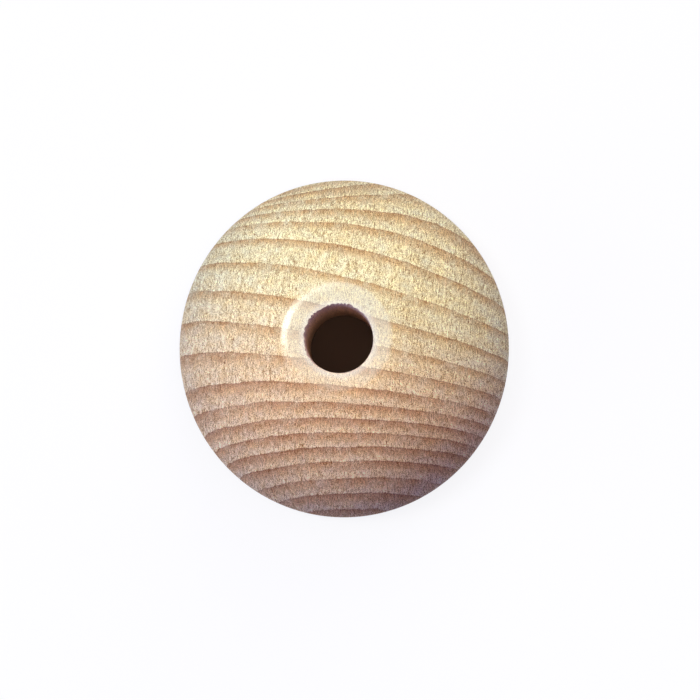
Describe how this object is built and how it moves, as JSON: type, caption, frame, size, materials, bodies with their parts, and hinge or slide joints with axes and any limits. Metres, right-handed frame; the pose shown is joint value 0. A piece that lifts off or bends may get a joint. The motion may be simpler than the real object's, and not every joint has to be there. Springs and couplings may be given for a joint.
{
  "type": "half wooden bead",
  "caption": "Turned wooden half bead: a dome with a flat back, a small flat land round its mouth and a round bore along the axis.",
  "frame": {"origin": "middle of the flat back, on the bore's axis", "axes": "+Z along the bore, from the flat back out of the dome; X along the growth rings; +Y across them, towards the bark"},
  "size_m": [0.0296, 0.0304, 0.0142],
  "materials": {
    "beech": "satin"
  },
  "bodies": {
    "root": {"half_bead": "beech"}
  },
  "joints": []
}
